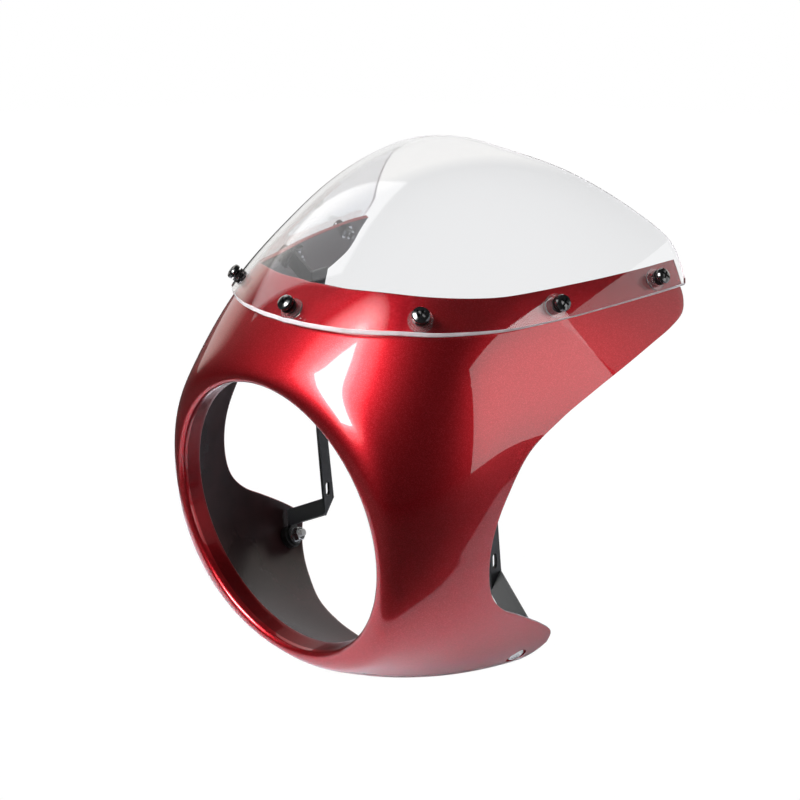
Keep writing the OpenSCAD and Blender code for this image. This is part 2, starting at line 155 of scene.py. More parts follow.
# ---------------------------------------------------------------- studio, as the reflections show it
# Metres and degrees. The two directions run along the floor, away from the camera and to its right.
CAMERA_AZIMUTH = math.radians(40.9)
AWAY = (-math.sin(CAMERA_AZIMUTH), math.cos(CAMERA_AZIMUTH), 0.0)
RIGHTWARD = (math.cos(CAMERA_AZIMUTH), math.sin(CAMERA_AZIMUTH), 0.0)
# The floor plane lies just under the object; its glow lifts the camera's view of it to white.
FLOOR_SIZE = 14.0
FLOOR_GAP = 0.0006
FLOOR_GLOW = 1.08
# The pale table that reflections see ends this far in front of the opening and to its left.
TABLE_FRONT = 0.14
TABLE_LEFT = 0.26
TABLE_FADE = 0.008
WHITE = (1.0, 1.0, 1.0, 1.0)
TABLE_TONE = (0.77, 0.78, 0.86, 1.0)
WALL_TONE = (0.92, 0.87, 0.79, 1.0)
DIM = (0.035, 0.033, 0.032, 1.0)
# Tone of the walls by how far a direction points away from the camera.
WALL_STOPS = [(0.0, DIM), (0.56, DIM), (0.68, WALL_TONE), (1.0, WHITE)]
# Lamps stand round this point; where gives azimuth and elevation, lean a turn about their axis.
LAMP_CENTRE = Vector((0.04, 0.04, 0.05))
FRONT_BOX = {"where": (-10, 42), "distance": 1.4, "size": (0.36, 0.80), "lean": 42, "strength": 27.0}
SOFTBOXES = {
    "side_strip": {"where": (108, 10), "distance": 1.3, "size": (0.335, 1.02), "power": 2.9, "lean": 5},
    "side_panel": {"where": (135.5, 5), "distance": 1.3, "size": (0.90, 1.08), "power": 2.4, "lean": 8},
    "left_panel": {"where": (-96, 42), "distance": 1.3, "size": (0.66, 0.66), "power": 1.5, "lean": 0},
}
# The cloth round the front box, and its glow by the distance from the box.
CLOTH_SIZE = 1.7
HALO = [(0.0, 1.0), (0.02, 0.34), (0.14, 0.12), (0.38, 0.0)]
# The frame's width in pixels, in which the focal length is given, and the camera's sensor width.
FRAME_PX = 800
SENSOR_MM = 36.0


# ---------------------------------------------------------------- the skin's formula
def spline(table, s):
    """Smooth curve of continuous curvature through equally spaced values, read at positions s."""
    v = np.asarray(table, float)
    n = len(v) - 1
    a = np.zeros((n + 1, n + 1))
    b = np.zeros(n + 1)
    a[0, 0] = a[n, n] = 1
    for i in range(1, n):
        a[i, i - 1 : i + 2] = (1, 4, 1)
        b[i] = 6 * (v[i - 1] - 2 * v[i] + v[i + 1])
    m = np.linalg.solve(a, b)
    s = np.clip(np.asarray(s, float), 0, n)
    i = np.minimum(s.astype(int), n - 1)
    f = s - i
    bend = ((1 - f) ** 3 - (1 - f)) * m[i] / 6 + (f**3 - f) * m[i + 1] / 6
    return v[i] * (1 - f) + v[i + 1] * f + bend


def through(table):
    """Points along the curve that the part's source draws through the same table."""
    p = np.asarray(table, float)
    n = len(p) - 1
    ext = np.vstack([2 * p[0] - p[1], p, 2 * p[-1] - p[-2]])
    s = np.linspace(0, n, n * CURVE_STEPS + 1)
    i = np.minimum(s.astype(int), n - 1)
    f = (s - i)[:, None]
    a, b, c, d = ext[i], ext[i + 1], ext[i + 2], ext[i + 3]
    cubic = (2 * a - 5 * b + 4 * c - d) * f**2 + (3 * b - a - 3 * c + d) * f**3
    return (2 * b + (c - a) * f + cubic) / 2


def grown(start, end, shares):
    """Values that go from start to end by the given shares."""
    return start + (end - start) * np.array(shares)


def skin(angle, depth):
    """Points of the outer skin, in millimetres, at angles in degrees and depths."""
    angle, depth = np.broadcast_arrays(np.asarray(angle, float), np.asarray(depth, float))
    s = (len(WIDTH_SHARE) - 1) * np.sqrt(np.maximum(depth, 0) / SHELL_DEPTH)
    wide = grown(OPENING_R, REAR_HALF_WIDTH, WIDTH_SHARE)
    low_wide = np.append(wide[: WING_START + 1], grown(wide[WING_START], WING_HALF_WIDTH, WING_GAIN))
    high = grown(OPENING_R, REAR_HEIGHT, HEIGHT_SHARE)
    drop = grown(OPENING_R, WING_DROP, DROP_SHARE)
    up = angle >= 0
    w = np.where(up, spline(wide, s), spline(low_wide, s))
    h = np.where(up, spline(high, s), spline(drop, s))
    n = np.where(up, spline(TOP_SQUARENESS, s), spline(LOW_SQUARENESS, s))
    t = np.radians(angle)
    r = ((np.abs(np.cos(t)) / w) ** n + (np.abs(np.sin(t)) / h) ** n) ** (-1 / n)
    return np.stack([r * np.cos(t), depth, r * np.sin(t)], -1)


def outward(angle, depth):
    """Unit normals of the outer skin."""
    angle, depth = np.broadcast_arrays(np.asarray(angle, float), np.asarray(depth, float))
    a = skin(np.minimum(angle + PROBE, 90), depth) - skin(np.maximum(angle - PROBE, -90), depth)
    b = skin(angle, depth + PROBE) - skin(angle, np.maximum(depth - PROBE, 0))
    n = np.cross(b, a)
    return n / np.linalg.norm(n, axis=-1, keepdims=True)


def raised(angle, depth, height):
    """Points at a height over the outer skin, along its normals."""
    return skin(angle, depth) + np.asarray(height)[..., None] * outward(angle, depth)


def run_along(points):
    """Length of a line of skin places up to each of its points."""
    p = skin(points[:, 0], points[:, 1])
    return np.append(0, np.cumsum(np.linalg.norm(np.diff(p, axis=0), axis=1)))


def at_stations(points, run, count):
    """The same line read at evenly spaced lengths, its ends kept."""
    s = np.linspace(0, run[-1], count)
    return np.stack([np.interp(s, run, points[:, k]) for k in range(points.shape[1])], 1)


def even(points, pitch):
    """The same line with stations about pitch apart."""
    run = run_along(points)
    return at_stations(points, run, max(2, int(round(run[-1] / pitch)) + 1))


# ---------------------------------------------------------------- meshes
def grid_object(name, rings, closed, materials, slots):
    """A mesh over rings of points; slots gives the material of each strip between ring points."""
    n, m = rings.shape[:2]
    verts = (rings.reshape(-1, 3) * MM).tolist()
    faces, index = [], []
    for i in range(n if closed else n - 1):
        i2 = (i + 1) % n
        for j in range(m):
            j2 = (j + 1) % m
            faces.append((i * m + j, i * m + j2, i2 * m + j2, i2 * m + j))
            index.append(slots[j])
    if not closed:
        faces.append(tuple(range(m - 1, -1, -1)))
        faces.append(tuple((n - 1) * m + j for j in range(m)))
        index += [slots[0]] * 2
    mesh = bpy.data.meshes.new(name)
    mesh.from_pydata(verts, [], faces)
    for mat in materials:
        mesh.materials.append(mat)
    mesh.polygons.foreach_set("material_index", index)
    mesh.update()
    o = bpy.data.objects.new(name, mesh)
    bpy.context.scene.collection.objects.link(o)
    return o


def smooth(mesh, crease):
    """Smooth shading with sharp edges above an angle in degrees."""
    mesh.polygons.foreach_set("use_smooth", [True] * len(mesh.polygons))
    mesh.set_sharp_from_angle(angle=math.radians(crease))


def settle(o):
    """Outward normals and smooth shading for a mesh made here."""
    bm = bmesh.new()
    bm.from_mesh(o.data)
    bmesh.ops.recalc_face_normals(bm, faces=bm.faces)
    bm.to_mesh(o.data)
    bm.free()
    smooth(o.data, MOULDED_CREASE)


def site_matrix(side, angle, depth):
    """Place at a site of the skin, with Z along the outward normal."""
    flip = np.array([side, 1, 1])
    p = skin(angle, depth) * flip * MM
    n = outward(angle, depth) * flip
    return Matrix.Translation(Vector(p)) @ Vector(n).to_track_quat("Z", "X").to_matrix().to_4x4()


def drill(o, sites, radius):
    """Cuts round holes through a mesh along the normals at sites, then drops the cutters."""
    cutters = []
    for site in sites:
        bpy.ops.mesh.primitive_cylinder_add(
            vertices=CUTTER_SIDES, radius=radius * MM, depth=CUTTER_LENGTH * MM
        )
        c = bpy.context.object
        c.matrix_world = site_matrix(*site)
        cutters.append(c)
        mod = o.modifiers.new("hole", "BOOLEAN")
        mod.operation, mod.solver, mod.object = "DIFFERENCE", "EXACT", c
    bpy.context.view_layer.update()
    evaluated = o.evaluated_get(bpy.context.evaluated_depsgraph_get())
    done = bpy.data.meshes.new_from_object(evaluated)
    o.modifiers.clear()
    old = o.data
    o.data = done
    done.name = old.name
    bpy.data.meshes.remove(old)
    for c in cutters:
        data = c.data
        bpy.data.objects.remove(c)
        bpy.data.meshes.remove(data)


def dress(prefix, mat):
    """Gives a material to every CAD node whose name starts with prefix."""
    found = [o for name, o in NODES.items() if name.startswith(prefix)]
    if not found:
        raise RuntimeError(f"no CAD node starts with {prefix}")
    for o in found:
        o.data.materials.clear()
        o.data.materials.append(mat)
        smooth(o.data, CAD_CREASE)
    return found


# ---------------------------------------------------------------- shader nodes
def linear(code):
    """sRGB hex to linear RGBA."""
    v = [int(code[i : i + 2], 16) / 255 for i in (1, 3, 5)]
    return tuple(c / 12.92 if c <= 0.04045 else ((c + 0.055) / 1.055) ** 2.4 for c in v) + (1.0,)


def grey(level):
    """Opaque grey of one level."""
    return (level, level, level, 1.0)


def toned(colour, share):
    """A colour with its red, green and blue multiplied by share."""
    return tuple(share * c for c in colour[:3]) + (1.0,)


def material(name, colour):
    """An empty material and its tree, with its viewport colour."""
    m = bpy.data.materials.new(name)
    m.use_nodes = True
    m.node_tree.nodes.clear()
    m.diffuse_color = colour
    return m, m.node_tree


def add(tree, kind, links=None, **settings):
    """Adds a node, sets its attributes or inputs, and links what feeds it."""
    n = tree.nodes.new(kind)
    for key, value in settings.items():
        if hasattr(n, key):
            setattr(n, key, value)
        else:
            n.inputs[key.replace("_", " ")].default_value = value
    for socket, source in (links or {}).items():
        tree.links.new(source, n.inputs[socket])
    return n


def maths(tree, operation, first, second=None, vector=False):
    """Result of a math node on a socket and, where it takes one, a second socket or constant."""
    kind = "ShaderNodeVectorMath" if vector else "ShaderNodeMath"
    n = add(tree, kind, {0: first}, operation=operation)
    if isinstance(second, bpy.types.NodeSocket):
        tree.links.new(second, n.inputs[1])
    elif second is not None:
        n.inputs[1].default_value = second
    scalar = not vector or operation in ("DOT_PRODUCT", "LENGTH")
    return n.outputs["Value" if scalar else "Vector"]


def ramp(tree, fac, stops):
    """A colour ramp with (position, colour) stops."""
    n = add(tree, "ShaderNodeValToRGB", {"Fac": fac})
    while len(n.color_ramp.elements) < len(stops):
        n.color_ramp.elements.new(0.5)
    for e, (p, c) in zip(n.color_ramp.elements, stops):
        e.position, e.color = p, c
    return n.outputs["Color"]


def in_units(tree, size_mm):
    """Object coordinates counted in units of size_mm millimetres."""
    t = add(tree, "ShaderNodeTexCoord")
    scale = (1000.0 / size_mm,) * 3
    return add(tree, "ShaderNodeMapping", {"Vector": t.outputs["Object"]}, Scale=scale).outputs["Vector"]


def noise(tree, size_mm, detail):
    """Cloudy noise with features of about size_mm millimetres."""
    links = {"Vector": in_units(tree, size_mm)}
    return add(tree, "ShaderNodeTexNoise", links, Scale=1.0, Detail=detail).outputs["Fac"]


def relief(tree, height, strength, distance, under=None):
    """Normal of a fine relief, which may lie on another relief."""
    links = {"Height": height}
    if under is not None:
        links["Normal"] = under
    return add(tree, "ShaderNodeBump", links, Strength=strength, Distance=distance).outputs["Normal"]


def principled(tree, links, **settings):
    """Principled shader with its linked inputs and its settings."""
    return add(tree, "ShaderNodeBsdfPrincipled", links, **settings).outputs["BSDF"]


def mixed(tree, share, first, second):
    """The first shader, with the second in its place by a share."""
    links = {"Fac": share, 1: first, 2: second}
    return add(tree, "ShaderNodeMixShader", links).outputs["Shader"]


def show(tree, shader):
    """Makes a shader the surface of its material."""
    add(tree, "ShaderNodeOutputMaterial", {"Surface": shader})


# ---------------------------------------------------------------- materials
def lacquered_candy_red(props, name="lacquered_candy_red", coat=1.0, shade=1.0):
    """Candy red sprayed over metal flake, under clear lacquer.

    Deep in the shade and glowing where lit, with mirror reflections on top.
    """
    m, t = material(name, props.paint)
    links = {"Vector": in_units(t, props.flake_mm)}
    flake = add(t, "ShaderNodeTexVoronoi", links, feature="F1", Scale=1.0)
    tilt = add(t, "ShaderNodeSeparateColor", {"Color": flake.outputs["Color"]}).outputs["Red"]
    tones = (linear("#97121b"), props.paint, linear("#bb2c36"))
    # shade below one darkens the flake tones: painted shade, used inside the collar.
    body = ramp(t, tilt, [(p, toned(c, shade)) for p, c in zip((0.0, 0.6, 1.0), tones)])
    peel = relief(t, noise(t, 7.0, 1.0), 0.03, 0.0002)
    glint = relief(t, tilt, 0.045, 0.0001, peel)
    links = {"Base Color": body, "Normal": glint, "Coat Normal": peel}
    lacquer = {"Coat_Weight": coat, "Coat_Roughness": 0.02, "Coat_IOR": 1.5}
    show(t, principled(t, links, Metallic=0.94, Roughness=0.37, **lacquer))
    return m


def collar_painted_shade_thin_coat(props):
    """The same candy red with little lacquer, darkened to 0.42 of its colour as painted shade inside the
    collar.
    """
    return lacquered_candy_red(props, "collar_painted_shade_thin_coat", coat=0.2, shade=0.42)


def moulded_inner_skin(props):
    """Bare moulded inside with overspray: dark brown-grey that drinks light, with a fine grain."""
    m, t = material("moulded_inner_skin", props.inside)
    colour = ramp(t, noise(t, 40.0, 4.0), [(0.35, tuple(props.inside)), (0.75, linear("#3b2224"))])
    links = {"Base Color": colour, "Normal": relief(t, noise(t, 1.2, 3.0), 0.15, 0.0001)}
    show(t, principled(t, links, Roughness=0.24, Specular_IOR_Level=0.25))
    return m


def moulded_clear_acrylic(props):
    """Blown clear acrylic: nearly invisible face on, grey-white where it turns away.

    Shadow and diffuse rays pass it with a faint tint, so it casts the light shadow of a clear sheet.
    """
    m, t = material("moulded_clear_acrylic", props.tint)
    links = {"Normal": relief(t, noise(t, 60.0, 0.0), 0.04, 0.001)}
    tint = tuple(props.tint)
    clear = principled(t, links, Roughness=0.0, IOR=1.49, Base_Color=tint, Transmission_Weight=1.0)
    passed = add(t, "ShaderNodeBsdfTransparent", Color=(0.80, 0.80, 0.81, 1.0)).outputs["BSDF"]
    path = add(t, "ShaderNodeLightPath").outputs
    passes = maths(t, "MAXIMUM", path["Is Shadow Ray"], path["Is Diffuse Ray"])
    show(t, mixed(t, passes, clear, passed))
    return m


def acrylic_edge_painted_glow(props):
    """Flame-polished bevel of the clear sheet.

    Its pale grey colour and faint emission are painted light, a painted glow for the light the edge gathers;
    it is glossy.
    """
    m, t = material("acrylic_edge_painted_glow", props.edge)
    streak = noise(t, 9.0, 2.0)
    colour = ramp(t, streak, [(0.3, toned(props.edge, 0.8)), (0.6, tuple(props.edge))])
    links = {"Base Color": colour, "Normal": relief(t, streak, 0.05, 0.0003)}
    # Faint emission: a painted glow, as the edge is no lamp.
    glow = {"Emission_Color": (1.0, 0.96, 0.98, 1.0), "Emission_Strength": 0.1}
    show(t, principled(t, links, Roughness=0.08, IOR=1.49, Transmission_Weight=0.2, **glow))
    return m


def soft_clear_silicone():
    """Cast clear silicone: lets the paint through with a soft white rim of light."""
    m, t = material("soft_clear_silicone", (0.9, 0.88, 0.88, 1.0))
    mist = [(0.3, (0.93, 0.88, 0.88, 1.0)), (0.7, (0.98, 0.96, 0.96, 1.0))]
    links = {"Base Color": ramp(t, noise(t, 2.0, 2.0), mist)}
    clear = principled(t, links, Roughness=0.05, IOR=1.41, Transmission_Weight=0.95)
    passed = add(t, "ShaderNodeBsdfTransparent", Color=(0.92, 0.9, 0.9, 1.0)).outputs["BSDF"]
    path = add(t, "ShaderNodeLightPath").outputs
    show(t, mixed(t, path["Is Shadow Ray"], clear, passed))
    return m


def plain_coat(name, base, roughness, grain_mm, depth, fleck, metallic=0.0, coat=0.0):
    """Shared layout of the small materials: a base colour with fine flecks and a fine relief."""
    base = tuple(base)
    m, t = material(name, base)
    grain = noise(t, grain_mm, 4.0)
    colour = ramp(t, grain, [(0.3, toned(base, 1 - fleck)), (0.7, base)])
    links = {"Base Color": colour, "Normal": relief(t, grain, 0.25, depth)}
    lacquer = {"Coat_Weight": coat, "Coat_Roughness": 0.05}
    show(t, principled(t, links, Metallic=metallic, Roughness=roughness, **lacquer))
    return m


# ---------------------------------------------------------------- settings a user would change
def colour_setting(name, description, default):
    """A colour that the panel shows."""
    return bpy.props.FloatVectorProperty(
        name=name, description=description, default=default, size=4, subtype="COLOR", min=0, max=1
    )


def length_setting(name, description, default, least, most):
    """A length in millimetres that the panel shows."""
    return bpy.props.FloatProperty(
        name=name, description=description + ", in millimetres", default=default, min=least, max=most
    )


class CowlShellSettings(bpy.types.PropertyGroup):
    paint: colour_setting("Paint", "Colour of the candy lacquer where it faces the light", linear("#a6141d"))
    inside: colour_setting("Inside", "Colour of the bare moulded inside", linear("#2a1a1b"))
    flake_mm: length_setting("Flake", "Size of a metal flake as drawn", 0.32, 0.1, 2)
    pitch_mm: length_setting("Mesh pitch", "Spacing of the shell's lines at its free edge", 3.0, 1, 10)
    edge_mm: length_setting("Edge round", "Round of the free edges", 0.8, 0.2, 1.4)


class CowlSheetSettings(bpy.types.PropertyGroup):
    tint: colour_setting("Tint", "Colour that the clear sheet passes", (0.905, 0.91, 0.92, 1.0))
    # The pale edge colour is painted light: it stands in for the light the bevel gathers.
    edge: colour_setting("Edge", "Colour of the polished edge", linear("#e4dee2"))
    pitch_mm: length_setting("Mesh pitch", "Spacing of the sheet's columns at its lower edge", 3.0, 1, 10)
    edge_mm: length_setting("Edge break", "Break of the bevel's corners", 0.15, 0.05, 0.4)


class CowlHardwareSettings(bpy.types.PropertyGroup):
    black: colour_setting("Black", "Colour of the coated screws", linear("#141516"))
    zinc: colour_setting("Zinc", "Colour of the plated washers and nuts", linear("#cdd0d2"))


class CowlStageSettings(bpy.types.PropertyGroup):
    lens_px: bpy.props.FloatProperty(
        name="Focal length", description="Focal length in pixels of an 800 pixel frame",
        default=852.26, min=400, max=3000,
    )
    azimuth: bpy.props.FloatProperty(
        name="Azimuth", description="Camera azimuth", default=CAMERA_AZIMUTH, subtype="ANGLE"
    )
    elevation: bpy.props.FloatProperty(
        name="Elevation", description="Camera elevation", default=math.radians(21.64), subtype="ANGLE"
    )
    place: bpy.props.FloatVectorProperty(
        name="Place", description="Camera position", default=(0.3555, -0.2887, 0.2580),
        size=3, subtype="TRANSLATION", unit="LENGTH",
    )
    floor: colour_setting("Floor", "Colour of the floor", (0.93, 0.93, 0.93, 1.0))


# ---------------------------------------------------------------- operators
class COWL_OT_shell(bpy.types.Operator):
    """Builds the moulded shell with its rolled lip, collar and rounded free edge"""

    bl_idname = "cowl.shell"
    bl_label = "Shell"

    def execute(self, context):
        props = context.scene.cowl_shell
        top, rear, floor = (even(through(t), props.pitch_mm) for t in (TOP_EDGE, REAR_EDGE, FLOOR_EDGE))
        right = np.vstack([top[:-1], rear[:-1], floor])
        left = right[-2:0:-1]
        rings, marks = [], None
        for side, edge in [(1, e) for e in right] + [(-1, e) for e in left]:
            profile, marks = self.profile(edge, props.edge_mm)
            rings.append(profile * (side, 1, 1))
        # The collar's slot takes the candy red darkened as painted shade.
        materials = [lacquered_candy_red(props), moulded_inner_skin(props), collar_painted_shade_thin_coat(props)]
        o = grid_object("shell_skin", np.array(rings), True, materials, marks)
        settle(o)
        drill(o, [(side, *WING_SITE) for side in (-1, 1)], WING_HOLE_R)
        drill(o, SCREW_SITES, SCREW_HOLE_R)
        settle(o)
        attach(o, "root")
        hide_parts("shell")
        return {"FINISHED"}

    @staticmethod
    def profile(edge, r):
        """Closed line round the wall at one place of the free edge, and the material of its spans."""
        lip = np.interp(edge[0], *LIP_ANGLES)

        def along(t):
            return lip * (1 - t) + edge[0] * t, edge[1] * t**CROWDING

        outer = skin(*along(np.linspace(1, 0, OUTER_ROWS)))
        inner = raised(*along(np.linspace(INNER_START, 1, INNER_ROWS)), np.full(INNER_ROWS, -WALL))
        c, s = math.cos(math.radians(lip)), math.sin(math.radians(lip))

        def ring(radius, y):
            return np.array([radius * c, y, radius * s])

        turn = [
            ring(OPENING_R - LIP_ROUND * math.sin(a), LIP_ROUND * (1 - math.cos(a))) for a in LIP_TURNS
        ]
        deep = [ring(BORE_R, y) for y in np.linspace(LIP_ROUND + 2, COLLAR_DEPTH - 0.6, COLLAR_ROWS)]
        # The collar's rear edge has its corners broken twice, then its outside runs back to the wall.
        back = [
            ring(BORE_R + 0.2, COLLAR_DEPTH - 0.2), ring(BORE_R + 0.6, COLLAR_DEPTH),
            ring(COLLAR_OUT - 0.6, COLLAR_DEPTH), ring(COLLAR_OUT - 0.2, COLLAR_DEPTH - 0.2),
            ring(COLLAR_OUT, COLLAR_DEPTH - 0.6), ring(COLLAR_OUT, WALL + 1.4),
        ]
        run = outer[0] - outer[1]
        run /= np.linalg.norm(run)
        up = outer[0] - inner[-1]
        up /= np.linalg.norm(up)
        rise = [(r * (1 - math.sin(a)), r * (1 - math.cos(a))) for a in EDGE_TURNS]
        fillet = [inner[-1] - run * x + up * z for x, z in rise]
        fillet += [outer[0] - run * x - up * z for x, z in rise[::-1]]
        points = np.vstack([outer[1:], turn, deep, back, inner[:-1], fillet])
        front, tube = len(outer) - 1 + len(turn), len(deep) + 2
        inside = len(points) - front - tube - len(fillet)
        return points, [0] * front + [2] * tube + [1] * inside + [0] * len(fillet)


class COWL_OT_windscreen(bpy.types.Operator):
    """Builds the clear moulded sheet with polished edges and its screw holes"""

    bl_idname = "cowl.windscreen"
    bl_label = "Windscreen"

    def execute(self, context):
        props = context.scene.cowl_sheet
        pairs = through(SHEET_PAIRS)
        run = run_along(pairs)
        half = at_stations(pairs, run, int(run[-1] / props.pitch_mm))
        rings = []
        for side, pair in [(-1, q) for q in half[:0:-1]] + [(1, q) for q in half]:
            ends = skin(pair[[0, 2]], pair[[1, 3]])
            height = np.linalg.norm(ends[1] - ends[0])
            inset = min(WIDEST_INSET, INSET_BEVELS * SHEET_BEVEL / height)
            t = np.concatenate([[0], np.linspace(inset, 1 - inset, SHEET_ROWS - 2), [1]])
            angle = pair[0] * (1 - t) + pair[2] * t
            depth = pair[1] * (1 - t) + pair[3] * t
            low = raised(angle, depth, np.full(SHEET_ROWS, SHEET_GAP))
            top = raised(angle, depth, np.full(SHEET_ROWS, SHEET_GAP + SHEET_WALL))
            rings.append(self.bevelled(low, top, props.edge_mm) * (side, 1, 1))
        marks = ([0] * (SHEET_ROWS - 2) + [1] * (EDGE_POINTS - 2) + [0, 0]) * 2
        materials = [moulded_clear_acrylic(props), acrylic_edge_painted_glow(props)]
        o = grid_object("windscreen_sheet", np.array(rings), False, materials, marks)
        settle(o)
        drill(o, SCREW_SITES, SCREW_HOLE_R)
        settle(o)
        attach(o, "root")
        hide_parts("windscreen")
        return {"FINISHED"}

    @staticmethod
    def bevelled(low, top, r):
        """Closed line round the sheet in one column: a bevel at each end, its corners broken by r."""
        line = []
        for a, b, outer_first in ((low, top, False), (top[::-1], low[::-1], True)):
            end, other = (b[-1], a[-1]) if outer_first else (a[-1], b[-1])
            run = a[-1] - a[-2]
            bevel = min(SHEET_BEVEL, np.linalg.norm(run) * NARROW_SHARE)
            run /= np.linalg.norm(run)
            up = (other - end) / np.linalg.norm(other - end)
            wall = end + up * (SHEET_WALL - bevel)
            slope = (up - run) / math.sqrt(2)
            top_edge = other - run * bevel
            foot = [end - run * r, end - run * 0.3 * r + up * 0.3 * r, end + up * r]
            face = [wall - up * r, wall, wall + slope * r]
            face += [top_edge - slope * r, top_edge, top_edge - run * r]
            turn = foot + face
            line.append(a[1:-1])
            line.append(np.array(turn[::-1] if outer_first else turn))
        return np.vstack(line)


class COWL_OT_hardware(bpy.types.Operator):
    """Finishes the screws, washers, nuts and wing fixings"""

    bl_idname = "cowl.hardware"
    bl_label = "Screws, washers and nuts"

    def execute(self, context):
        props = context.scene.cowl_hardware
        # Black coat under clear gloss: hard small highlights on near black.
        black = plain_coat(
            "gloss_black_coated_steel", props.black,
            roughness=0.16, grain_mm=1.5, depth=0.00002, fleck=0.2, coat=1.0,
        )
        dress("screen_screw", black)
        # Cast silicone between sheet and shell: all but clear, with pale rims.
        for o in dress("spacer", soft_clear_silicone()):
            rim = o.modifiers.new("rim", "BEVEL")
            rim.width, rim.segments, rim.limit_method = SPACER_ROUND * MM, 3, "ANGLE"
        # Injection-moulded nylon: softer highlights than the screw it carries.
        nylon = plain_coat(
            "moulded_black_nylon", linear("#1a1617"), roughness=0.32, grain_mm=1.0, depth=0.00003, fleck=0.2
        )
        dress("shoulder_washer", nylon)
        # Zinc plating: pale grey metal with a faint cloud.
        zinc = plain_coat(
            "zinc_plated_steel", props.zinc,
            roughness=0.24, grain_mm=2.0, depth=0.00003, fleck=0.25, metallic=1.0,
        )
        for prefix in ("flat_washer", "screen_nut", "wing_washer", "wing_nut"):
            dress(prefix, zinc)
        # Plating near white and half matt on the bolt that shows outside: partly its own plating, partly
        # painted sheen for the light it catches.
        bright = plain_coat(
            "plated_steel_painted_sheen", linear("#f4f6f6"),
            roughness=0.22, grain_mm=2.5, depth=0.00003, fleck=0.08, metallic=0.5,
        )
        dress("wing_bolt", bright)
        # Moulded rubber: dull black with a soft sheen.
        rubber = plain_coat(
            "moulded_rubber", linear("#1c1c1d"), roughness=0.6, grain_mm=0.8, depth=0.00005, fleck=0.3
        )
        dress("wing_grommet", rubber)
        return {"FINISHED"}


class COWL_OT_brackets(bpy.types.Operator):
    """Finishes the two bent steel brackets"""

    bl_idname = "cowl.brackets"
    bl_label = "Brackets"

    def execute(self, context):
        # Satin powder coat: flat faces read mid grey under soft light, cut edges read black.
        satin = plain_coat(
            "satin_powder_coated_steel", linear("#26282a"),
            roughness=0.38, grain_mm=0.9, depth=0.00006, fleck=0.25,
        )
        dress("bracket", satin)
        return {"FINISHED"}


